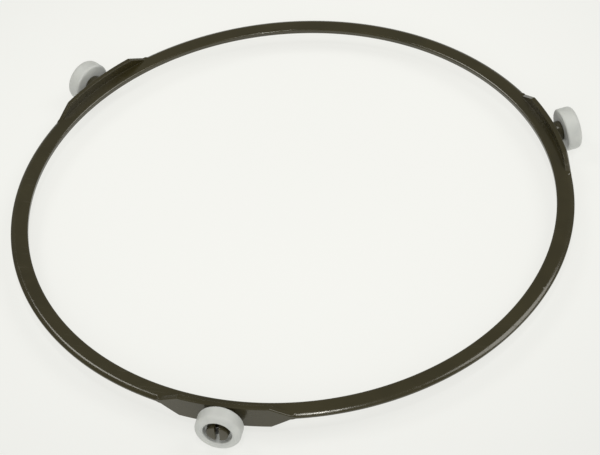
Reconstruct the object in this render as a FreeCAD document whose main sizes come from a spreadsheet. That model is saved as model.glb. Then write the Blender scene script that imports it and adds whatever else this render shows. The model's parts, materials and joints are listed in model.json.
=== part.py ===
"""Roller ring that carries the glass tray of a microwave oven.

One moulded ring, with three lugs on its rim, holds three rollers that spin on split snap pins.
The ring's axis is Z, the floor that the rollers run on is Z = 0, and one roller faces -Y.
"""
import FreeCAD, Part
import math
import os
import PartDesign
import Sketcher

# Driving dimensions, in millimetres and degrees.
SIZES = {
    # the flat band of the ring
    "ring_outer_radius": 110.0,
    "band_width": 6.7,
    "band_thickness": 2.2,
    "band_edge_radius": 0.9,
    # the curved plates that stand across the rim
    "lug_thickness": 2.0,
    "lug_height": 9.6,
    "lug_flat_length": 34.1,
    "lug_end_length": 10.2,
    "lug_corner_radius": 1.5,
    "lug_edge_radius": 0.5,
    # the boss and the split snap pin on each plate
    "boss_length": 2.6,
    "boss_step": 0.5,
    "pin_radius": 3.6,
    "barb_height": 0.75,
    "barb_land": 0.9,
    "nose_taper": 8.0,
    "nose_recess": 0.1,
    "slot_width": 1.5,
    # the rollers
    "roller_radius": 8.6,
    "roller_web": 3.0,
    "pocket_depth": 3.2,
    "pocket_room": 1.05,
    "countersink_width": 0.9,
    "countersink_depth": 0.5,
    "roller_outer_edge": 1.8,
    "roller_inner_edge": 0.5,
    # the room that each roller needs to spin
    "pin_clearance": 0.08,
    "end_play": 0.2,
}

# How far a cutting profile runs past the material it cuts.
OVERRUN = 2.0

# The rollers, one on each lug, in their order round the ring from the one that faces -Y.
ROLLERS = ("roller_front", "roller_right", "roller_left")
LUG_SPACING = 360 / len(ROLLERS)

doc = FreeCAD.newDocument("roller_ring")
dims = doc.addObject("Spreadsheet::Sheet", "dims")
for row, (name, size) in enumerate(SIZES.items(), start=1):
    dims.set("A%d" % row, name)
    dims.set("B%d" % row, str(size))
    dims.setAlias("B%d" % row, name)
doc.recompute()

# Heights above the floor and distances from the ring's axis that follow from the sheet.
AXLE = "dims.roller_radius"
BAND_TOP = "(%s + dims.band_thickness / 2)" % AXLE
BAND_BOTTOM = "(%s - dims.band_thickness / 2)" % AXLE
BAND_INSIDE = "(dims.ring_outer_radius - dims.band_width)"
BAND_EDGE = "min(dims.band_edge_radius; 0.45 * dims.band_thickness; 0.45 * dims.band_width)"
LUG_INSIDE = "(dims.ring_outer_radius - dims.lug_thickness)"
LUG_MIDDLE = "(dims.ring_outer_radius - dims.lug_thickness / 2)"
LUG_TOP = "(%s + dims.lug_height / 2)" % AXLE
LUG_BOTTOM = "(%s - dims.lug_height / 2)" % AXLE
LUG_TIP = "(dims.lug_flat_length / 2 + dims.lug_end_length)"
BOSS_RADIUS = "(dims.pin_radius + dims.boss_step)"
SHOULDER = "(dims.ring_outer_radius + dims.boss_length)"
ROLLER_SEAT = "(%s + dims.end_play)" % SHOULDER
ROLLER_WIDTH = "(dims.roller_web + dims.pocket_depth)"
BORE_RADIUS = "(dims.pin_radius + dims.pin_clearance)"
POCKET_RADIUS = "(dims.pin_radius + dims.barb_height + dims.pocket_room)"
MOUTH_RADIUS = "(%s + dims.countersink_width)" % POCKET_RADIUS
BARB = "(%s + dims.roller_web + dims.end_play)" % ROLLER_SEAT
NOSE = "(%s + dims.barb_land)" % BARB
TIP = "(%s + %s - dims.nose_recess)" % (ROLLER_SEAT, ROLLER_WIDTH)


def value(expression):
    """The number that an expression on the sheet gives."""
    return float(dims.evalExpression(expression))


def origin_feature(body, role):
    """One of the body's own origin planes or axes."""
    return next(item for item in body.Origin.OriginFeatures if item.Role == role)


def new_sketch(body, name, role, offset="0"):
    """A sketch on one of the body's origin planes, moved along the plane's normal."""
    sketch = body.newObject("Sketcher::SketchObject", name)
    sketch.AttachmentSupport = [(origin_feature(body, role), "")]
    sketch.MapMode = "FlatFace"
    sketch.setExpression("AttachmentOffset.Base.z", offset)
    return sketch


def bind(sketch, constraint, expression):
    """Add one dimension to a sketch and tie it to an expression on the sheet."""
    index = sketch.addConstraint(constraint)
    sketch.setExpression("Constraints[%d]" % index, expression)


def pin_point(sketch, edge, end, across, up):
    """Tie one end of a sketched edge to a place measured from the sketch's origin."""
    bind(sketch, Sketcher.Constraint("DistanceX", -1, 1, edge, end, value(across)), across)
    bind(sketch, Sketcher.Constraint("DistanceY", -1, 1, edge, end, value(up)), up)


def draw_polygon(sketch, corners):
    """A closed outline of straight edges, with each corner given as two expressions."""
    first = sketch.GeometryCount
    count = len(corners)
    places = [FreeCAD.Vector(value(across), value(up), 0) for across, up in corners]
    for i in range(count):
        sketch.addGeometry(Part.LineSegment(places[i], places[(i + 1) % count]), False)
    for i, (across, up) in enumerate(corners):
        following = first + (i + 1) % count
        sketch.addConstraint(Sketcher.Constraint("Coincident", first + i, 2, following, 1))
        pin_point(sketch, first + i, 1, across, up)


def draw_arc(sketch, centre, radius, start, sweep, ends):
    """An arc, about a centre given as two expressions, that joins the ends of two drawn edges."""
    middle = FreeCAD.Vector(value(centre[0]), value(centre[1]), 0)
    circle = Part.Circle(middle, FreeCAD.Vector(0, 0, 1), value(radius))
    begin, finish = math.radians(start), math.radians(start + sweep)
    arc = sketch.addGeometry(Part.ArcOfCircle(circle, begin, finish), False)
    sketch.addConstraint(Sketcher.Constraint("Coincident", arc, 1, *ends[0]))
    sketch.addConstraint(Sketcher.Constraint("Coincident", arc, 2, *ends[1]))
    bind(sketch, Sketcher.Constraint("DistanceX", -1, 1, arc, 3, middle.x), centre[0])


def draw_rounded_box(sketch, left, right, bottom, top, radius):
    """A rectangle with its four corners rounded, given by its sides."""
    inner_left = "%s + %s" % (left, radius)
    inner_right = "%s - %s" % (right, radius)
    inner_bottom = "%s + %s" % (bottom, radius)
    inner_top = "%s - %s" % (top, radius)
    sides = [
        ((inner_left, bottom), (inner_right, bottom)),
        ((right, inner_bottom), (right, inner_top)),
        ((inner_right, top), (inner_left, top)),
        ((left, inner_top), (left, inner_bottom)),
    ]
    for start, end in sides:
        places = [FreeCAD.Vector(value(across), value(up), 0) for across, up in (start, end)]
        side = sketch.addGeometry(Part.LineSegment(*places), False)
        pin_point(sketch, side, 1, *start)
        pin_point(sketch, side, 2, *end)
    centres = [
        (inner_right, inner_bottom),
        (inner_right, inner_top),
        (inner_left, inner_top),
        (inner_left, inner_bottom),
    ]
    for i, centre in enumerate(centres):
        draw_arc(sketch, centre, radius, 90 * i - 90, 90, ((i, 2), ((i + 1) % 4, 1)))


def draw_stadium(sketch, reach, radius):
    """Two half circles about the axle, set apart by reach to each side and joined by lines."""
    top = "%s + %s" % (AXLE, radius)
    bottom = "%s - %s" % (AXLE, radius)
    for start, end, height in ((reach, "-" + reach, top), ("-" + reach, reach, bottom)):
        places = [FreeCAD.Vector(value(across), value(height), 0) for across in (start, end)]
        side = sketch.addGeometry(Part.LineSegment(*places), False)
        pin_point(sketch, side, 1, start, height)
        pin_point(sketch, side, 2, end, height)
    draw_arc(sketch, ("-" + reach, AXLE), radius, 90, 180, ((0, 2), (1, 1)))
    draw_arc(sketch, (reach, AXLE), radius, -90, 180, ((1, 2), (0, 1)))


def draw_axle_circle(sketch, radius):
    """A circle about the axle."""
    centre = FreeCAD.Vector(0, value(AXLE), 0)
    circle = Part.Circle(centre, FreeCAD.Vector(0, 0, 1), value(radius))
    edge = sketch.addGeometry(circle, False)
    sketch.addConstraint(Sketcher.Constraint("PointOnObject", edge, 3, -2))
    bind(sketch, Sketcher.Constraint("DistanceY", -1, 1, edge, 3, value(AXLE)), AXLE)
    bind(sketch, Sketcher.Constraint("Radius", edge, value(radius)), radius)


def add_pad(body, name, sketch, length):
    """Pad a sketch along its normal."""
    pad = body.newObject("PartDesign::Pad", name)
    pad.Profile = sketch
    pad.setExpression("Length", length)
    return pad


def add_revolution(body, name, sketch, angle="360"):
    """Turn a sketch about its own vertical axis, half of the angle to each side."""
    revolution = body.newObject("PartDesign::Revolution", name)
    revolution.Profile = sketch
    revolution.ReferenceAxis = (sketch, ["V_Axis"])
    revolution.Midplane = True
    revolution.setExpression("Angle", angle)
    return revolution


def add_pocket(body, name, sketch, length, reverse):
    """Cut a sketch out of the body, and check that the cut met the material."""
    before = body.Shape.Volume
    pocket = body.newObject("PartDesign::Pocket", name)
    pocket.Profile = sketch
    pocket.Reversed = reverse
    pocket.setExpression("Length", length)
    doc.recompute()
    if pocket.Shape.Volume >= before:
        raise RuntimeError("%s cuts nothing" % name)
    return pocket


def add_fillet(body, name, base, edges, radius):
    """Round the named edges of the feature base."""
    fillet = body.newObject("PartDesign::Fillet", name)
    fillet.Base = (base, edges)
    fillet.setExpression("Radius", radius)
    doc.recompute()
    return fillet


def edges_where(feature, test):
    """The names of a feature's edges that pass a test."""
    return ["Edge%d" % i for i, edge in enumerate(feature.Shape.Edges, start=1) if test(edge)]


def add_lug_plate(body):
    """The plate: a curved wall on the rim, cut to a long hexagon that points along the band."""
    wall_sketch = new_sketch(body, "lug_wall_section", "YZ_Plane")
    draw_polygon(wall_sketch, [
        ("-dims.ring_outer_radius", LUG_BOTTOM),
        ("-" + LUG_INSIDE, LUG_BOTTOM),
        ("-" + LUG_INSIDE, LUG_TOP),
        ("-dims.ring_outer_radius", LUG_TOP),
    ])
    wall_end = "(%s + %s)" % (LUG_TIP, OVERRUN)
    add_revolution(body, "lug_wall", wall_sketch, "2 * asin(%s / %s)" % (wall_end, LUG_INSIDE))
    doc.recompute()

    end_sketch = new_sketch(body, "lug_ends", "XZ_Plane")
    for side in ("", "-"):
        flat = side + "dims.lug_flat_length / 2"
        tip = side + LUG_TIP
        far = "%s(%s + %s)" % (side, LUG_TIP, 2 * OVERRUN)
        above = "%s + %s" % (LUG_TOP, OVERRUN)
        below = "%s - %s" % (LUG_BOTTOM, OVERRUN)
        draw_polygon(end_sketch, [
            (flat, above),
            (flat, LUG_TOP),
            (tip, AXLE),
            (flat, LUG_BOTTOM),
            (flat, below),
            (far, below),
            (far, above),
        ])
    depth = "dims.ring_outer_radius + %s" % OVERRUN
    plate = add_pocket(body, "lug_hexagon", end_sketch, depth, True)
    corners = edges_where(plate, radial)
    plate = add_fillet(body, "lug_corners", plate, corners, "dims.lug_corner_radius")
    outline = edges_where(plate, lambda edge: not radial(edge))
    edge_radius = "min(dims.lug_edge_radius; 0.4 * dims.lug_thickness)"
    add_fillet(body, "lug_edges", plate, outline, edge_radius)


def radial(edge):
    """Whether an edge runs straight through the plate, from its inner to its outer face."""
    first, last = (vertex.Point for vertex in edge.Vertexes)
    return abs(first.x - last.x) < 1e-6 and abs(first.z - last.z) < 1e-6


def add_snap_pin(body):
    """The boss, the shank, the barbed head with its tapered nose, and the slot that splits them."""
    boss_sketch = new_sketch(body, "boss_section", "XZ_Plane", LUG_MIDDLE)
    draw_axle_circle(boss_sketch, BOSS_RADIUS)
    add_pad(body, "boss", boss_sketch, "%s - %s" % (SHOULDER, LUG_MIDDLE))

    shank_sketch = new_sketch(body, "shank_section", "XZ_Plane", LUG_MIDDLE)
    draw_axle_circle(shank_sketch, "dims.pin_radius")
    add_pad(body, "shank", shank_sketch, "%s - %s" % (BARB, LUG_MIDDLE))

    head_sketch = new_sketch(body, "head_section", "XZ_Plane", BARB)
    draw_stadium(head_sketch, "dims.barb_height", "dims.pin_radius")
    add_pad(body, "head", head_sketch, "dims.barb_land")

    nose_sketch = new_sketch(body, "nose_section", "XZ_Plane", NOSE)
    draw_stadium(nose_sketch, "dims.barb_height", "dims.pin_radius")
    nose = add_pad(body, "nose", nose_sketch, "%s - %s" % (TIP, NOSE))
    nose.setExpression("TaperAngle", "-dims.nose_taper")
    doc.recompute()

    slot_sketch = new_sketch(body, "slot_section", "XZ_Plane", TIP)
    draw_polygon(slot_sketch, [
        ("-dims.slot_width / 2", "%s - dims.pin_radius - %s" % (AXLE, OVERRUN)),
        ("dims.slot_width / 2", "%s - dims.pin_radius - %s" % (AXLE, OVERRUN)),
        ("dims.slot_width / 2", "%s + dims.pin_radius + %s" % (AXLE, OVERRUN)),
        ("-dims.slot_width / 2", "%s + dims.pin_radius + %s" % (AXLE, OVERRUN)),
    ])
    add_pocket(body, "slot", slot_sketch, "%s - %s" % (TIP, SHOULDER), False)


def make_ring():
    """The moulded ring: lugs with their pins, repeated about the axis and joined by the band."""
    body = doc.addObject("PartDesign::Body", "ring_frame")
    body.Label = "ring_frame"
    add_lug_plate(body)
    add_snap_pin(body)

    lugs = body.newObject("PartDesign::PolarPattern", "lugs")
    lugs.TransformMode = "Whole shape"
    lugs.Axis = (origin_feature(body, "Z_Axis"), [""])
    lugs.Angle = 360
    lugs.Occurrences = len(ROLLERS)
    body.Tip = lugs
    doc.recompute()

    band_sketch = new_sketch(body, "band_section", "XZ_Plane")
    draw_rounded_box(
        band_sketch, BAND_INSIDE, "dims.ring_outer_radius", BAND_BOTTOM, BAND_TOP, BAND_EDGE
    )
    add_revolution(body, "band", band_sketch)
    doc.recompute()
    return body


def make_roller(name, angle):
    """A roller, turned about its bore, with a pocket in its outer face for the pin's barbs."""
    body = doc.addObject("PartDesign::Body", name)
    body.Label = name
    section = new_sketch(body, name + "_section", "XZ_Plane")
    draw_polygon(section, [
        (BORE_RADIUS, "0"),
        ("dims.roller_radius", "0"),
        ("dims.roller_radius", ROLLER_WIDTH),
        (MOUTH_RADIUS, ROLLER_WIDTH),
        (POCKET_RADIUS, "%s - dims.countersink_depth" % ROLLER_WIDTH),
        (POCKET_RADIUS, "dims.roller_web"),
        (BORE_RADIUS, "dims.roller_web"),
    ])
    turned = add_revolution(body, name + "_turned", section)
    doc.recompute()

    outer = edges_where(turned, lambda edge: is_rim(edge, value(ROLLER_WIDTH)))
    outer_edge = "min(dims.roller_outer_edge; 0.9 * (dims.roller_radius - %s))" % MOUTH_RADIUS
    rounded = add_fillet(body, name + "_outer_edge", turned, outer, outer_edge)
    inner = edges_where(rounded, lambda edge: is_rim(edge, 0))
    add_fillet(body, name + "_inner_edge", rounded, inner, "dims.roller_inner_edge")

    outward = FreeCAD.Rotation(FreeCAD.Vector(0, 0, 1), FreeCAD.Vector(1, 0, 0))
    about_ring = FreeCAD.Rotation(FreeCAD.Vector(0, 0, 1), angle)
    body.Placement = FreeCAD.Placement(FreeCAD.Vector(), about_ring.multiply(outward))
    body.setExpression("Placement.Base.x", "%s * cos(%s deg)" % (ROLLER_SEAT, angle))
    body.setExpression("Placement.Base.y", "%s * sin(%s deg)" % (ROLLER_SEAT, angle))
    body.setExpression("Placement.Base.z", AXLE)
    doc.recompute()
    return body


def is_rim(edge, height):
    """Whether an edge is the roller's full outer circle at this height."""
    centre = getattr(edge.Curve, "Center", None)
    if centre is None or len(edge.Vertexes) != 1:
        return False
    return abs(edge.Curve.Radius - dims.roller_radius) < 1e-6 and abs(centre.z - height) < 1e-6


pieces = [make_ring()]
pieces += [make_roller(name, turn * LUG_SPACING - 90) for turn, name in enumerate(ROLLERS)]
doc.recompute()

for item in doc.Objects:
    if {"Invalid", "Error"} & set(item.State):
        raise RuntimeError("%s failed: %s" % (item.Label, item.State))
for piece in pieces:
    if piece.Shape.isNull() or not piece.Shape.isValid():
        raise RuntimeError("%s has no valid shape" % piece.Label)
    if len(piece.Shape.Solids) != 1:
        raise RuntimeError("%s is not one solid" % piece.Label)

os.makedirs("parts", exist_ok=True)
for piece in pieces:
    piece.Shape.exportStep("parts/%s.step" % piece.Label)
    print("%s: %.1f cubic mm" % (piece.Label, piece.Shape.Volume))
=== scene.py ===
"""A microwave oven's roller ring on a pale studio floor.

One dark moulded ring, with split snap pins on its lugs, runs on three white rollers.
The pieces' lengths are in millimetres, and turn into metres where a mesh is made.
The materials, the lights and the camera use metres.
"""

import json
import math

import bpy
import numpy as np
from mathutils import Matrix


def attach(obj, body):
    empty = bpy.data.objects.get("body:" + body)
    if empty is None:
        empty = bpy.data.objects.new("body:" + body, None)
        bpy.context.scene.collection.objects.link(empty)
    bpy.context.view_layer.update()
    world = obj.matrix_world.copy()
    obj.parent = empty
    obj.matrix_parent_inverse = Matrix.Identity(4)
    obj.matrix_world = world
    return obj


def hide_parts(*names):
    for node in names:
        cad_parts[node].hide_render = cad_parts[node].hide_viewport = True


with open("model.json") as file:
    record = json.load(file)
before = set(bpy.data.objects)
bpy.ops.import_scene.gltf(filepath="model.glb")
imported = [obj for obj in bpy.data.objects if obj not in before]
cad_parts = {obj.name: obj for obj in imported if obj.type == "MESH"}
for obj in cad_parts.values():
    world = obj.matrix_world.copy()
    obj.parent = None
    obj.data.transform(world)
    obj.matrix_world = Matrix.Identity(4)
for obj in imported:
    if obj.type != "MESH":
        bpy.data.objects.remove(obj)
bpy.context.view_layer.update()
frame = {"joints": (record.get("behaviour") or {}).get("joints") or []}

MM = 0.001
QUARTER_TURN = math.pi / 2

# The band
RIM_RADIUS = 110.0
BAND_WIDTH = 6.85
BAND_HALF = 1.1

# The band's edges as tangent arcs: first and last tilt from the flat in degrees, and radius
UPPER_OUTER_EDGE = [(0.0, 22.0, 2.2), (22.0, 35.0, 4.8), (35.0, 90.0, 0.45)]
UPPER_INNER_EDGE = [(0.0, 22.0, 0.9), (22.0, 35.0, 1.7), (35.0, 90.0, 0.4)]
LOWER_OUTER_EDGE = [(0.0, 90.0, 1.0)]
LOWER_INNER_EDGE = [(0.0, 90.0, 0.45)]

# The lug plates, which stand across the rim with slanted ends
LUG_THICKNESS = 2.0
LUG_HALF_HEIGHT = 4.8
LUG_FLAT_HALF = 17.05
LUG_END_LENGTH = 8.9
LUG_TIP = LUG_FLAT_HALF + LUG_END_LENGTH
LUG_MIDDLE = RIM_RADIUS - LUG_THICKNESS / 2
LUG_OUTER_EDGE = 0.5
LUG_INNER_EDGE = 0.1
LUG_ROOT = 0.08

# The most of a low lug's rise that one of its roundings takes up, as a share
LUG_ROUNDING_SHARE = 0.45

# Away from the lugs, the rows of a lug's faces spread over the band's flat top, from this far inside
# the plate. Towards a lug they gather again, to this share of the way where its end starts to rise.
TOP_START = 1.6
GATHERED_SHARE = 0.97

# The boss and the split snap pin: root, shoulder, barb, nose and tip are distances from the ring's axis,
# and a sink is how far a shape starts inside the one that it stands on
BOSS_RADIUS = 4.1
BOSS_ROOT = 109.0
BOSS_SHOULDER = 112.6
BOSS_FLARE = 0.5
BOSS_FLARE_SINK = 0.08
PIN_RADIUS = 3.6
PIN_BARB = 116.0
PIN_NOSE = 116.9
PIN_TIP = 118.9
BARB_HEIGHT = 0.75
NOSE_TAPER = math.radians(8.0)
SLOT_HALF = 0.75
SLOT_FLARE = 0.6
PRONG_EDGE = 0.22
PRONG_SINK = 0.8
TIP_EDGE = 0.35

# Lengths along the pin at the barb: back to the row before it, back to the row at its foot, and of its
# face. A greater steepness lifts more of the barb where its face starts.
BARB_APPROACH = 0.6
BARB_FOOT = 0.01
BARB_FACE = 0.12
BARB_STEEPNESS = 4

# The rollers: the seat is the distance from the ring's axis to a roller's inner face, and the other
# distances along the pin start at that face
ROLLER_SEAT = 112.8
ROLLER_RADIUS = 8.6
ROLLER_WIDTH = 6.2
ROLLER_WEB = 3.0
BORE_RADIUS = 3.68
POCKET_RADIUS = 5.4
MOUTH_RADIUS = 6.3
MOUTH_DEPTH = 0.5

# The roundings of the roller's corners, and the one that its material shows fully paled, as rubbed wear
# with a painted highlight
MOUTH_EDGE = 0.5
OUTER_FACE_EDGE = 1.8
INNER_FACE_EDGE = 0.8
BORE_EDGE = 0.2
WEB_EDGE = 0.15
POCKET_FLOOR_EDGE = 0.35
POCKET_MOUTH_EDGE = 0.4
ROLLER_PALE_EDGE = 0.5

AXLE_HEIGHT = frame["joints"][0]["pos_m"][2] / MM

# How finely the surfaces are divided
ROUND_STEPS = 8
LUG_ROUND_STEPS = 4
TIP_STEPS = 6
PRONG_FRONT_STEPS = 33
PRONG_CORNER_STEPS = 7
BOSS_STEPS = 72
ROLLER_STEPS = 192
ROLLER_SPACING = 0.5

# Shares along a flat run: a narrow strip at each end keeps its smooth shading flat in between
FLAT_RUN = np.array([0.0, 0.06, 0.94, 1.0])[:, None]

# Faces that meet at more than this angle, in degrees, keep a crease
CREASE_ANGLE = 25.0


def blend(start, end, share):
    """Straight blend: start at share 0, end at share 1."""
    return start + (end - start) * share


def smooth_step(share):
    """The cubic 3 t^2 - 2 t^3 of a share held between 0 and 1."""
    held = np.clip(share, 0, 1)
    return held * held * (3 - 2 * held)


def rounded_outline(corners, radii):
    """A closed outline whose corners are arcs tangent to both sides.

    At a corner with half angle a, the arc's centre lies radius / sin(a) along the bisector. The arc's
    spokes turn from one tangent point to the other by slerp: (sin((1-t) w) p + sin(t w) q) / sin(w).
    """
    corner = np.asarray(corners, float)
    radius = np.asarray(radii, float)[:, None]
    back = np.roll(corner, 1, axis=0) - corner
    ahead = np.roll(corner, -1, axis=0) - corner
    back /= np.linalg.norm(back, axis=1, keepdims=True)
    ahead /= np.linalg.norm(ahead, axis=1, keepdims=True)
    half = np.arccos(np.sum(back * ahead, axis=1, keepdims=True)) / 2
    bisector = back + ahead
    bisector /= np.linalg.norm(bisector, axis=1, keepdims=True)
    centre = corner + bisector * radius / np.sin(half)
    first = corner + back * radius / np.tan(half) - centre
    last = corner + ahead * radius / np.tan(half) - centre
    sweep = (math.pi - 2 * half)[:, :, None]
    share = np.linspace(0, 1, ROUND_STEPS)[None, :, None]
    spokes = np.sin((1 - share) * sweep) * first[:, None] + np.sin(share * sweep) * last[:, None]
    return (centre[:, None] + spokes / np.sin(sweep)).reshape(-1, 2)


def divided(outline, spacing):
    """The same closed outline with each side cut into equal pieces no longer than spacing."""
    following = np.roll(outline, -1, axis=0)
    pieces = np.ceil(np.linalg.norm(following - outline, axis=1) / spacing).astype(int)
    pieces = np.maximum(pieces, 1)
    side = np.repeat(np.arange(len(outline)), pieces)
    step = np.arange(len(side)) - np.repeat(np.cumsum(pieces) - pieces, pieces)
    return blend(outline[side], following[side], (step / pieces[side])[:, None])


def grid_faces(rows, columns, rows_close):
    """Four-sided faces between neighbouring points of a grid whose columns close on themselves."""
    row = np.arange(rows if rows_close else rows - 1)[:, None]
    column = np.arange(columns)[None, :]
    next_row = (row + 1) % rows
    next_column = (column + 1) % columns
    corners = [
        row * columns + column,
        next_row * columns + column,
        next_row * columns + next_column,
        row * columns + next_column,
    ]
    return np.stack(corners, axis=-1).reshape(-1, 4)


def closed_ring(points):
    """A surface on a grid of points that closes both ways, like a doughnut."""
    rows, columns = points.shape[:2]
    return points.reshape(-1, 3), grid_faces(rows, columns, True).tolist()


def capped_tube(points):
    """A surface on a grid of rows that close on themselves, with a fan to the middle of each end row."""
    rows, columns = points.shape[:2]
    middles = np.stack((points[0].mean(axis=0), points[-1].mean(axis=0)))
    first, last = rows * columns, rows * columns + 1
    column = np.arange(columns)
    beside = (column + 1) % columns
    far = (rows - 1) * columns
    start_fan = np.stack((column, beside, np.full(columns, first)), axis=-1)
    end_fan = np.stack((far + beside, far + column, np.full(columns, last)), axis=-1)
    faces = grid_faces(rows, columns, False).tolist() + start_fan.tolist() + end_fan.tolist()
    return np.concatenate((points.reshape(-1, 3), middles)), faces


def linked_object(name, data):
    """A new object in the scene, at the origin."""
    thing = bpy.data.objects.new(name, data)
    bpy.context.scene.collection.objects.link(thing)
    return thing


def mesh_object(name, points, faces):
    """An object at the origin whose mesh holds these points, given in millimetres."""
    mesh = bpy.data.meshes.new(name)
    mesh.from_pydata((points * MM).tolist(), [], faces)
    mesh.validate()
    return linked_object(name, mesh)


def about_pin(joint, along, across, up):
    """Places along a lug's pin, measured from the ring's axis, across it and above its axle."""
    outward = np.array(joint["axis"], float)
    upward = np.array([0.0, 0.0, 1.0])
    sideways = np.cross(upward, outward)
    place = along[..., None] * outward + across[..., None] * sideways + up[..., None] * upward
    return place + np.array([0.0, 0.0, AXLE_HEIGHT])


def turned(joint, outline, steps, start=0.0):
    """A turned shape: each point (radius, along) of an outline carried round the pin's axis."""
    angle = start + np.linspace(0, 2 * math.pi, steps, endpoint=False)
    radius, along = outline[:, :1], outline[:, 1:]
    across, up = radius * np.cos(angle), radius * np.sin(angle)
    return about_pin(joint, along + np.zeros_like(across), across, up)


def lug_angles():
    """Angles from a pin to its lug's corner, to where the slant meets the band's top, and to the tip."""
    meeting = LUG_TIP - BAND_HALF * LUG_END_LENGTH / LUG_HALF_HEIGHT
    return np.arcsin(np.array([LUG_FLAT_HALF, meeting, LUG_TIP]) / LUG_MIDDLE)


def lug_height(near):
    """Half the lug's height at an angle from its pin.

    The smaller of the full half height and a straight slant that falls to zero at the lug's tip.
    Distances from the pin are taken along the middle of the plate, so the lug's corners lie on spokes
    of the ring.
    """
    to_tip = LUG_TIP - LUG_MIDDLE * np.abs(np.sin(near))
    return np.minimum(LUG_HALF_HEIGHT, to_tip * LUG_HALF_HEIGHT / LUG_END_LENGTH)


def ring_angles():
    """Angles of the ring's spokes, from the X axis and from the nearest pin.

    A spoke stands at each corner of the lugs, with one close to it on each side. The other spokes are
    evenly spaced between these. The sums are in degrees, and the results in radians.
    """
    corner, meeting, tip = np.degrees(lug_angles())
    beside, past_tip = 0.03, 1.5
    pins = [math.degrees(math.atan2(joint["axis"][1], joint["axis"][0])) for joint in frame["joints"]]
    halfway = 180.0 / len(pins)
    starts_and_steps = [
        (0.0, 36),
        (corner - beside, 1),
        (corner, 1),
        (corner + beside, 22),
        (meeting - beside, 1),
        (meeting, 1),
        (meeting + beside, 20),
        (tip, 10),
        (tip + past_tip, 34),
    ]
    ends = [start for start, steps in starts_and_steps[1:]] + [halfway]
    half = np.concatenate([
        np.linspace(start, end, steps, endpoint=False)
        for (start, steps), end in zip(starts_and_steps, ends)
    ])
    around_pin = np.sort(np.concatenate((half, [halfway], -half[:0:-1])))
    near = np.concatenate([around_pin] * len(pins))
    angle = near + np.repeat(np.sort(pins), len(around_pin))
    return np.radians(angle), np.radians(near)


def tangent_arcs(arcs):
    """Places along a row of arcs, each tangent to the next: how far out and how far down from the start.

    On an arc of radius q that starts at tilt a, the place at tilt t is q (sin t - sin a) out and
    q (cos a - cos t) down from the arc's start.
    """
    out, down = np.zeros(1), np.zeros(1)
    for first, last, radius in arcs:
        start = math.radians(first)
        tilt = np.radians(np.linspace(first, last, ROUND_STEPS)[1:])
        out = np.append(out, out[-1] + radius * (np.sin(tilt) - math.sin(start)))
        down = np.append(down, down[-1] + radius * (math.cos(start) - np.cos(tilt)))
    return out[:, None], down[:, None]


def outer_edge(height, arcs):
    """Places along the section's outer edge: how far out and how far down from its start.

    Away from the lugs it is the band's row of arcs. As the end of a lug rises past it, it shrinks and
    blends into the lug's plain rounding, sin t out and 1 - cos t down for t up to a quarter turn.
    """
    out, down = tangent_arcs(arcs)
    depth = np.clip(BAND_HALF - height, LUG_OUTER_EDGE, down[-1])
    plain = (down[-1] - depth) / (down[-1] - LUG_OUTER_EDGE)
    bend = np.linspace(0, QUARTER_TURN, len(out))[:, None]
    lug_out, lug_down = np.sin(bend), 1 - np.cos(bend)
    return depth * blend(out / down[-1], lug_out, plain), depth * blend(down / down[-1], lug_down, plain)


def half_section(near, inner_arcs, outer_arcs):
    """Radius and rise of half the ring's section, from half way up its inner wall to its outer wall.

    Its nine runs are the inner wall, the inner edge and the top, then the lug's root, inner wall, inner
    edge and flat top, and then the outer edge and the outer wall. Away from the lugs the lug's runs lie
    along the band's flat top.
    """
    inside = RIM_RADIUS - BAND_WIDTH
    plate = RIM_RADIUS - LUG_THICKNESS
    landing = plate - TOP_START
    height = lug_height(near)
    rise = np.maximum(height - BAND_HALF, 0.0)
    crest = BAND_HALF + rise
    root = np.minimum(LUG_ROOT, LUG_ROUNDING_SHARE * rise)
    edge = np.minimum(LUG_INNER_EDGE, LUG_ROUNDING_SHARE * rise)

    meeting, tip = lug_angles()[1:]
    gathered = GATHERED_SHARE * np.clip((tip - np.abs(near)) / (tip - meeting), 0, 1)
    share = np.where(rise > 0, 1.0, gathered)

    inner_out, inner_down = tangent_arcs(inner_arcs)
    out, down = outer_edge(height, outer_arcs)
    flat_start = inside + inner_out[-1]
    corner = RIM_RADIUS - out[-1]
    turn_share = np.linspace(0, 1, LUG_ROUND_STEPS)[:, None]
    turn = turn_share * QUARTER_TURN
    run = FLAT_RUN
    level = np.zeros_like(near)
    lug_runs = 4

    def mixed(place, part, lug_radius, lug_rise):
        """One of the lug's four runs, part of the way from its place on the band's flat top."""
        band_radius = blend(landing, corner, (place + part) / lug_runs)
        return blend(band_radius, lug_radius, share), blend(BAND_HALF, lug_rise, share)

    runs = [
        (inside + level + 0 * run, run * (BAND_HALF - inner_down[-1]) + level),
        (flat_start - inner_out[::-1] + level, BAND_HALF - inner_down[::-1] + level),
        (blend(flat_start, blend(landing, plate - root, share), run), BAND_HALF + level + 0 * run),
        mixed(0, turn_share, plate - root * (1 - np.sin(turn)), BAND_HALF + root * (1 - np.cos(turn))),
        mixed(1, run, plate, blend(BAND_HALF + root, crest - edge, run)),
        mixed(2, turn_share, plate + edge * (1 - np.cos(turn)), crest - edge * (1 - np.sin(turn))),
        mixed(3, run, blend(plate + edge, corner, run), crest + 0 * run),
        (corner + out, crest - down),
        (RIM_RADIUS + level + 0 * run, (crest - down[-1]) * (1 - run)),
    ]
    radius = np.concatenate([r[1:] if i else r for i, (r, z) in enumerate(runs)])
    rise_above = np.concatenate([z[1:] if i else z for i, (r, z) in enumerate(runs)])
    return radius, rise_above


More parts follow.
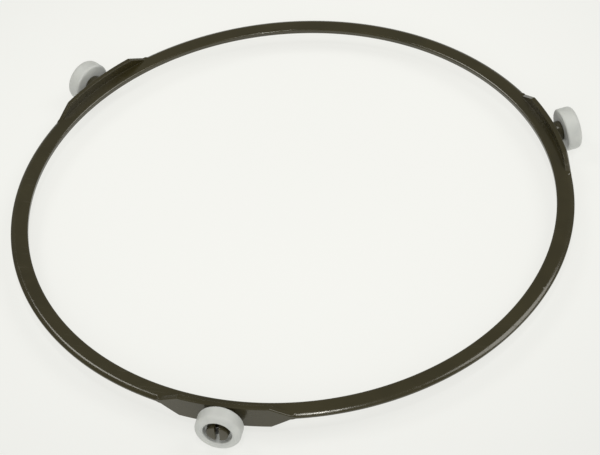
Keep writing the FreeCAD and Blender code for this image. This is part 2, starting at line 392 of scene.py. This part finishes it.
def ring_surface():
    """The band and its lugs: a section carried round the ring, whose rim rises at each lug."""
    angle, near = ring_angles()
    upper_radius, upper_rise = half_section(near, UPPER_INNER_EDGE, UPPER_OUTER_EDGE)
    lower_radius, lower_rise = half_section(near, LOWER_INNER_EDGE, LOWER_OUTER_EDGE)
    radius = np.concatenate((upper_radius, lower_radius[-2:0:-1]))
    rise = np.concatenate((upper_rise, -lower_rise[-2:0:-1]))
    points = (radius * np.cos(angle), radius * np.sin(angle), AXLE_HEIGHT + rise)
    return closed_ring(np.stack(points, axis=-1))


def boss_surface(joint):
    """The boss: a turned shape with a flared root inside the plate and a rounded shoulder.

    It is turned by half a step, so that its points don't fall on those of the ring.
    """
    turn = np.linspace(0, QUARTER_TURN, ROUND_STEPS)
    root_radius = BOSS_RADIUS + BOSS_FLARE * (1 - np.sin(turn))
    root_along = RIM_RADIUS - BOSS_FLARE_SINK + BOSS_FLARE * (1 - np.cos(turn))
    shoulder_radius = BOSS_RADIUS - TIP_EDGE * (1 - np.cos(turn))
    shoulder_along = BOSS_SHOULDER - TIP_EDGE * (1 - np.sin(turn))
    radius = np.concatenate(([BOSS_RADIUS + BOSS_FLARE], root_radius, shoulder_radius))
    along = np.concatenate(([BOSS_ROOT], root_along, shoulder_along))
    outline = np.column_stack((radius, along))[::-1]
    return capped_tube(turned(joint, outline, BOSS_STEPS, start=math.pi / BOSS_STEPS))


def prong_surface(joint, side):
    """One half of the split pin: a D-shaped section carried along the pin, stepped at the barb.

    The section is a smaller D grown by the edge rounding q: for each outward direction w it is the
    D's furthest point that way plus q (cos w, sin w). The D is a circle cut off along the slot.
    """
    rounding = np.sin(np.linspace(0, QUARTER_TURN, TIP_STEPS))
    barb_rows = PIN_BARB + np.array([-BARB_APPROACH, -BARB_FOOT, 0.0, BARB_FACE])
    tip_rows = PIN_TIP - TIP_EDGE * (1 - rounding)
    stations = np.concatenate(([BOSS_SHOULDER - PRONG_SINK], barb_rows, [PIN_NOSE], tip_rows))
    on_barb = smooth_step((stations - PIN_BARB + BARB_FOOT / 2) / BARB_FACE * BARB_STEEPNESS)[:, None]
    taper = np.clip(stations - PIN_NOSE, 0, None)[:, None] * math.tan(NOSE_TAPER)
    dome = TIP_EDGE * (1 - np.sqrt(1 - np.clip(1 - (PIN_TIP - stations) / TIP_EDGE, 0, 1) ** 2))[:, None]
    centre = BARB_HEIGHT * on_barb
    core = PIN_RADIUS - taper - dome - PRONG_EDGE
    wall = SLOT_HALF + PRONG_EDGE + SLOT_FLARE * dome
    limit = np.arccos(np.clip((wall - centre) / core, -1, 1))

    front = np.linspace(-1, 1, PRONG_FRONT_STEPS)[None, :]
    corner = np.linspace(0, 1, PRONG_CORNER_STEPS)[None, :]
    direction = np.concatenate((
        front * limit,
        blend(limit, math.pi, corner),
        blend(math.pi, 2 * math.pi - limit, corner),
    ), axis=1)
    arc_angle = np.concatenate((front * limit, limit + 0 * corner, -limit + 0 * corner), axis=1)
    across = centre + core * np.cos(arc_angle) + PRONG_EDGE * np.cos(direction)
    up = core * np.sin(arc_angle) + PRONG_EDGE * np.sin(direction)
    along = stations[:, None] + np.zeros_like(across)
    if side > 0:
        across, up, along = (grid[:, ::-1] for grid in (across, up, along))
    return capped_tube(about_pin(joint, along, -side * across, up))


def roller_surface(joint):
    """The roller: a closed section, with rounded corners, carried round the pin's axis."""
    radius_along_rounding = np.array([
        (MOUTH_RADIUS, ROLLER_WIDTH, MOUTH_EDGE),
        (ROLLER_RADIUS, ROLLER_WIDTH, OUTER_FACE_EDGE),
        (ROLLER_RADIUS, 0.0, INNER_FACE_EDGE),
        (BORE_RADIUS, 0.0, BORE_EDGE),
        (BORE_RADIUS, ROLLER_WEB, WEB_EDGE),
        (POCKET_RADIUS, ROLLER_WEB, POCKET_FLOOR_EDGE),
        (POCKET_RADIUS, ROLLER_WIDTH - MOUTH_DEPTH, POCKET_MOUTH_EDGE),
    ])
    corners, roundings = radius_along_rounding[:, :2], radius_along_rounding[:, 2]
    outline = divided(rounded_outline(corners, roundings), ROLLER_SPACING)
    outline[:, 1] += ROLLER_SEAT
    return closed_ring(turned(joint, outline, ROLLER_STEPS))


def joined(name, surfaces):
    """One closed piece from overlapping closed surfaces, by their union."""
    shells = [mesh_object("%s_%d" % (name, i), *surface) for i, surface in enumerate(surfaces)]
    body = shells[0]
    for shell in shells[1:]:
        union = body.modifiers.new(shell.name, "BOOLEAN")
        union.operation = "UNION"
        union.solver = "MANIFOLD"
        union.object = shell
    whole = bpy.data.meshes.new_from_object(body.evaluated_get(bpy.context.evaluated_depsgraph_get()))
    for shell in shells:
        bpy.data.objects.remove(shell)
    return linked_object(name, whole)


def vertex_vectors(mesh, key):
    """A vector that each point of a mesh has, such as its place or its normal, as rows."""
    vectors = np.empty(len(mesh.vertices) * 3)
    mesh.vertices.foreach_get(key, vectors)
    return vectors.reshape(-1, 3)


def mark_edges(piece, edge_size):
    """Give each point the mean bending of the surface there, as an attribute between 0 and 1.

    For a neighbour at offset d, the bending is n . d / |d|^2, half the curvature along d. A rounding of
    radius q bends one way only, so its mean is about 1 / (4 q). The scale of 4 edge_size makes that 1
    for a rounding of edge_size, and hollows give 0.
    """
    least_square = 1e-12
    mesh = piece.data
    count = len(mesh.vertices)
    place = vertex_vectors(mesh, "co")
    normal = vertex_vectors(mesh, "normal")
    ends = np.empty(len(mesh.edges) * 2, int)
    mesh.edges.foreach_get("vertices", ends)
    ends = ends.reshape(-1, 2)
    ends = np.concatenate((ends, ends[:, ::-1]))
    here, there = ends[:, 0], ends[:, 1]
    offset = place[here] - place[there]
    square = np.maximum(np.sum(offset ** 2, axis=1), least_square)
    bend = np.sum(offset * normal[here], axis=1) / square
    mean = np.bincount(here, bend, count) / np.maximum(np.bincount(here, minlength=count), 1)
    marks = mesh.attributes.new("edge", "FLOAT", "POINT")
    marks.data.foreach_set("value", np.clip(mean * 4 * edge_size * MM, 0, 1).astype(np.float32))


def shade_smooth(piece):
    """Smooth shading, with creases kept where faces meet at more than the crease angle."""
    mesh = piece.data
    mesh.polygons.foreach_set("use_smooth", np.ones(len(mesh.polygons), bool))
    mesh.set_sharp_from_angle(angle=math.radians(CREASE_ANGLE))


class Nodes:
    """A node tree with short ways to add nodes and links."""

    def __init__(self, tree):
        self.tree = tree

    def add(self, kind, settings=(), **inputs):
        """A new node with these settings and inputs."""
        node = self.tree.nodes.new(kind)
        for key, setting in dict(settings).items():
            setattr(node, key, setting)
        self.wire(node, **inputs)
        return node

    def wire(self, node, **inputs):
        """Feed a node's named inputs. An underscore stands for a space in a name."""
        for key, source in inputs.items():
            self.feed(node.inputs[key.replace("_", " ")], source)

    def feed(self, socket, source):
        """Link an output to a socket, or set the socket's own value."""
        if isinstance(source, bpy.types.NodeSocket):
            self.tree.links.new(source, socket)
        else:
            socket.default_value = source

    def paired(self, kind, operation, first, second):
        """The outputs of a node whose operation takes two inputs."""
        node = self.add(kind, {"operation": operation})
        self.feed(node.inputs[0], first)
        self.feed(node.inputs[1], second)
        return node.outputs

    def math(self, operation, first, second):
        """A Math node's output."""
        return self.paired("ShaderNodeMath", operation, first, second)[0]

    def ranged(self, value, low, high, to_low=0.0, to_high=1.0, easing="LINEAR"):
        """A value carried from one range to another, and held there."""
        node = self.add("ShaderNodeMapRange", {"interpolation_type": easing}, Value=value)
        for place, limit in enumerate((low, high, to_low, to_high), start=1):
            node.inputs[place].default_value = limit
        return node.outputs[0]

    def colour(self, share, first, second):
        """A blend of two colours, by the colour sockets of a Mix node, which share their names."""
        node = self.add("ShaderNodeMix", {"data_type": "RGBA"})
        self.feed(node.inputs[0], share)
        self.feed(node.inputs[6], first)
        self.feed(node.inputs[7], second)
        return node.outputs[2]

    def over(self, base, amount, most, mark):
        """A base colour with a mark's colour over it, by an amount of 0 to 1 times the most."""
        return self.colour(self.math("MULTIPLY", amount, most), base, mark)

    def grained(self, grain, strength, depth=0.0001):
        """A normal with a fine grain of this depth."""
        return self.add("ShaderNodeBump", Height=grain, Strength=strength, Distance=depth).outputs[0]


def new_group(name, inputs, outputs):
    """A shader node group with named number inputs, a Vector input and number outputs."""
    group = bpy.data.node_groups.new(name, "ShaderNodeTree")
    group.interface.new_socket("Vector", in_out="INPUT", socket_type="NodeSocketVector")
    for socket in inputs:
        group.interface.new_socket(socket, in_out="INPUT", socket_type="NodeSocketFloat")
    for socket in outputs:
        group.interface.new_socket(socket, in_out="OUTPUT", socket_type="NodeSocketFloat")
    nodes = Nodes(group)
    return nodes, nodes.add("NodeGroupInput").outputs, nodes.add("NodeGroupOutput").inputs


def make_moulded_skin():
    """Moulded plastic: cloudy flow marks and the fine grain that the tool leaves."""
    nodes, given, wanted = new_group("moulded_skin", ["Flow Scale", "Grain Scale"], ["Flow", "Grain"])
    flow = nodes.add("ShaderNodeTexNoise", Vector=given["Vector"], Scale=given["Flow Scale"])
    nodes.wire(flow, Detail=4.0, Distortion=0.6)
    grain = nodes.add("ShaderNodeTexNoise", Vector=given["Vector"], Scale=given["Grain Scale"])
    nodes.wire(grain, Detail=3.0)
    nodes.feed(wanted["Flow"], nodes.ranged(flow.outputs[0], low=0.32, high=0.68))
    nodes.feed(wanted["Grain"], grain.outputs[0])
    return nodes.tree


def make_dust():
    """Dust: small round specks in some of the cells of a Voronoi pattern."""
    soft_edge = 0.04
    nodes, given, wanted = new_group("dust", ["Scale", "Size", "Share"], ["Specks"])
    cells = nodes.add("ShaderNodeTexVoronoi", Vector=given["Vector"], Scale=given["Scale"])
    chance = nodes.add("ShaderNodeSeparateColor", Color=cells.outputs["Color"])
    chosen = nodes.math("LESS_THAN", chance.outputs[0], given["Share"])
    size = nodes.math("MULTIPLY", chance.outputs[1], given["Size"])
    near = nodes.math("SUBTRACT", size, cells.outputs["Distance"])
    spot = nodes.ranged(near, low=0.0, high=soft_edge)
    nodes.feed(wanted["Specks"], nodes.math("MULTIPLY", spot, chosen))
    return nodes.tree


def make_scuffs():
    """Scuffs: thin broken streaks, from noise stretched along the vector's X."""
    stretch, soft_edge = (0.06, 1.0, 1.0), 0.08
    nodes, given, wanted = new_group("scuffs", ["Scale", "Share"], ["Scuffs"])
    stretched = nodes.paired("ShaderNodeVectorMath", "MULTIPLY", given["Vector"], stretch)["Vector"]
    streaks = nodes.add("ShaderNodeTexNoise", Vector=stretched, Scale=given["Scale"], Detail=2.0)
    over = nodes.math("SUBTRACT", streaks.outputs[0], given["Share"])
    nodes.feed(wanted["Scuffs"], nodes.ranged(over, low=0.0, high=soft_edge))
    return nodes.tree


MOULDED_SKIN = make_moulded_skin()
DUST = make_dust()
SCUFFS = make_scuffs()


def new_material(name):
    """A material with only an output and a Principled shader, and the place on the object."""
    material = bpy.data.materials.new(name)
    material.use_nodes = True
    nodes = Nodes(material.node_tree)
    place = nodes.add("ShaderNodeTexCoord").outputs["Object"]
    return material, nodes, material.node_tree.nodes["Principled BSDF"], place


def pale_edges_wear_and_highlight(nodes):
    """How far each place is an edge, as mark_edges left it on the mesh: the mask of the paler convex
    edges, partly rubbed wear and partly painted highlight.
    """
    return nodes.add("ShaderNodeAttribute", {"attribute_name": "edge"}).outputs["Fac"]


def group_node(nodes, group, **inputs):
    """The outputs of a node group placed in a material with its own values."""
    return nodes.add("ShaderNodeGroup", {"node_tree": group}, **inputs).outputs


def make_ring_plastic():
    """Dark olive-brown moulded plastic: cloudy, satin, paler on its convex edges from rubbed wear and a
    painted highlight, and a little dusty.
    """
    material, nodes, shader, place = new_material("dark_moulded_plastic")
    skin = group_node(nodes, MOULDED_SKIN, Vector=place, Flow_Scale=55.0, Grain_Scale=2600.0)
    dust = group_node(nodes, DUST, Vector=place, Scale=260.0, Size=0.16, Share=0.06)
    scuffs = group_node(nodes, SCUFFS, Vector=place, Scale=900.0, Share=0.62)

    colour = nodes.colour(skin["Flow"], (0.024, 0.0195, 0.006, 1), (0.033, 0.027, 0.009, 1))
    # Paler convex edges: partly rubbed wear, partly a painted highlight along the roundings
    colour = nodes.over(colour, pale_edges_wear_and_highlight(nodes), most=0.06, mark=(0.12, 0.11, 0.085, 1))
    colour = nodes.over(colour, dust["Specks"], most=0.5, mark=(0.30, 0.29, 0.26, 1))

    roughest_scuff = 0.12
    polish = nodes.ranged(skin["Flow"], low=0.0, high=1.0, to_low=0.14, to_high=0.21)
    worn = nodes.math("ADD", polish, nodes.math("MULTIPLY", scuffs["Scuffs"], roughest_scuff))

    grained = nodes.grained(skin["Grain"], strength=0.12)
    nodes.wire(shader, Base_Color=colour, Roughness=worn, Normal=grained)
    nodes.wire(shader, Specular_IOR_Level=0.8, Specular_Tint=(1.0, 0.98, 0.9, 1))
    return material


def make_roller_plastic():
    """White moulded plastic: faintly cloudy, translucent, paler on its convex edges from rubbed wear and
    a painted highlight, a little dusty.
    """
    material, nodes, shader, place = new_material("white_roller_plastic")
    skin = group_node(nodes, MOULDED_SKIN, Vector=place, Flow_Scale=140.0, Grain_Scale=3200.0)
    dust = group_node(nodes, DUST, Vector=place, Scale=520.0, Size=0.14, Share=0.04)

    colour = nodes.colour(skin["Flow"], (0.55, 0.565, 0.55, 1), (0.615, 0.625, 0.60, 1))
    # Paler convex edges: partly rubbed wear, partly a painted highlight along the roundings
    colour = nodes.over(colour, pale_edges_wear_and_highlight(nodes), most=0.06, mark=(0.78, 0.79, 0.77, 1))
    colour = nodes.over(colour, dust["Specks"], most=0.25, mark=(0.25, 0.25, 0.22, 1))
    polish = nodes.ranged(skin["Flow"], low=0.0, high=1.0, to_low=0.38, to_high=0.50)

    grained = nodes.grained(skin["Grain"], strength=0.06)
    nodes.wire(shader, Base_Color=colour, Roughness=polish, Normal=grained)
    nodes.wire(shader, Subsurface_Weight=0.12, Subsurface_Scale=0.0008)
    nodes.wire(shader, Subsurface_Radius=(1.0, 1.0, 0.9))
    return material


def make_floor_paint():
    """Pale matt light table: faintly clouded, and lit from below in the middle, so shadows are weak."""
    glow_middle, glow_starts_to_fade, glow_edge = (-0.0115, 0.038, 0.0), 0.06, 0.34
    material, nodes, shader, place = new_material("pale_floor")
    cloud = nodes.add("ShaderNodeTexNoise", Vector=place, Scale=3.0).outputs[0]
    share = nodes.ranged(cloud, low=0.3, high=0.7)
    paint = nodes.colour(share, (0.195, 0.197, 0.19, 1), (0.21, 0.212, 0.205, 1))
    reach = nodes.paired("ShaderNodeVectorMath", "DISTANCE", place, glow_middle)["Value"]
    fading = nodes.ranged(reach, glow_starts_to_fade, glow_edge, easing="SMOOTHSTEP")
    glow = nodes.colour(fading, (1.0, 1.0, 0.96, 1), (0.79, 0.795, 0.775, 1))
    nodes.wire(shader, Base_Color=paint, Roughness=0.9, Specular_IOR_Level=0.1)
    nodes.wire(shader, Emission_Color=glow, Emission_Strength=0.725)
    return material


def place_from(azimuth, elevation, distance):
    """A place seen from the ring's middle: azimuth 0 is towards -Y and 90 towards +X."""
    turn, rise = math.radians(azimuth), math.radians(elevation)
    level = math.cos(rise)
    return np.array([math.sin(turn) * level, -math.cos(turn) * level, math.sin(rise)]) * distance


def aim(thing, place, back, upright):
    """Put an object at a place with its local Z along back and its local Y leaning towards upright."""
    back = back / np.linalg.norm(back)
    right = np.cross(upright, back)
    right /= np.linalg.norm(right)
    rows = np.column_stack((right, np.cross(back, right), back, place))
    thing.matrix_world = Matrix(rows.tolist() + [[0.0, 0.0, 0.0, 1.0]])


def add_softbox(name, azimuth, elevation, distance, size, power):
    """A square soft light that faces the ring's middle."""
    light = bpy.data.lights.new(name, "AREA")
    light.shape = "SQUARE"
    light.size = size
    light.energy = power
    lamp = linked_object(name, light)
    lamp.visible_camera = False
    place = place_from(azimuth, elevation, distance)
    upright = np.array([0.0, 1.0, 0.2])
    aim(lamp, place, place, upright)
    return lamp


def add_camera():
    """The photo's camera: a long lens that looks down on the ring, slightly rolled."""
    azimuth, elevation, roll = 16.7, 44.788, math.radians(-5.692)
    distance, aside, above = 0.8959, 0.002523, -0.009966
    lens = bpy.data.cameras.new("photo_camera")
    lens.sensor_width = 36.0
    lens.lens = 137.65
    lens.clip_start = 0.01
    camera = linked_object("photo_camera", lens)
    back = place_from(azimuth, elevation, 1.0)
    right = np.cross([0.0, 0.0, 1.0], back)
    right /= np.linalg.norm(right)
    up = np.cross(back, right)
    place = back * distance + right * aside + up * above + np.array([0.0, 0.0, AXLE_HEIGHT * MM])
    aim(camera, place, back, math.cos(roll) * up - math.sin(roll) * right)
    bpy.context.scene.camera = camera


def add_floor(material):
    """A plain round floor under the rollers."""
    radius, sides = 4000.0, 96
    angle = np.linspace(0, 2 * math.pi, sides, endpoint=False)
    points = radius * np.column_stack((np.cos(angle), np.sin(angle), np.zeros_like(angle)))
    floor = mesh_object("studio_floor", points, [list(range(sides))])
    floor.data.materials.append(material)


def add_light():
    """A dim pale surround, a small lamp overhead, two soft lights behind and a broad panel in front.

    The panel only fills in the shade: it isn't seen in reflections.
    """
    world = bpy.data.worlds.new("studio")
    world.use_nodes = True
    surround = Nodes(world.node_tree)
    surround.wire(world.node_tree.nodes["Background"], Color=(1.0, 0.985, 0.86, 1), Strength=0.28)
    bpy.context.scene.world = world
    add_softbox("overhead_lamp", azimuth=22.0, elevation=73.0, distance=1.6, size=0.1, power=3.3)
    add_softbox("left_softbox", azimuth=-114.0, elevation=55.5, distance=1.5, size=0.5, power=3.5)
    add_softbox("right_softbox", azimuth=116.0, elevation=51.5, distance=1.5, size=0.75, power=5.5)
    panel = add_softbox("front_panel", azimuth=10.0, elevation=40.0, distance=3.0, size=2.0, power=34.0)
    panel.visible_glossy = False
    bpy.context.scene.view_settings.view_transform = "Standard"


def add_piece(piece, material, body, node, edge_size):
    """Finish a piece and put it on the body whose node it takes the place of."""
    shade_smooth(piece)
    mark_edges(piece, edge_size)
    piece.data.materials.clear()
    piece.data.materials.append(material)
    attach(piece, body)
    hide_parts(node)


ring_shells = [ring_surface()]
for joint in frame["joints"]:
    ring_shells += [boss_surface(joint), prong_surface(joint, -1), prong_surface(joint, 1)]
ring = joined("ring_moulding", ring_shells)
add_piece(ring, make_ring_plastic(), "ring", "ring_frame", LUG_OUTER_EDGE)

roller_plastic = make_roller_plastic()
for joint in frame["joints"]:
    roller = joint["child"]
    piece = mesh_object("white_" + roller, *roller_surface(joint))
    add_piece(piece, roller_plastic, roller, roller, ROLLER_PALE_EDGE)

add_floor(make_floor_paint())
add_light()
add_camera()
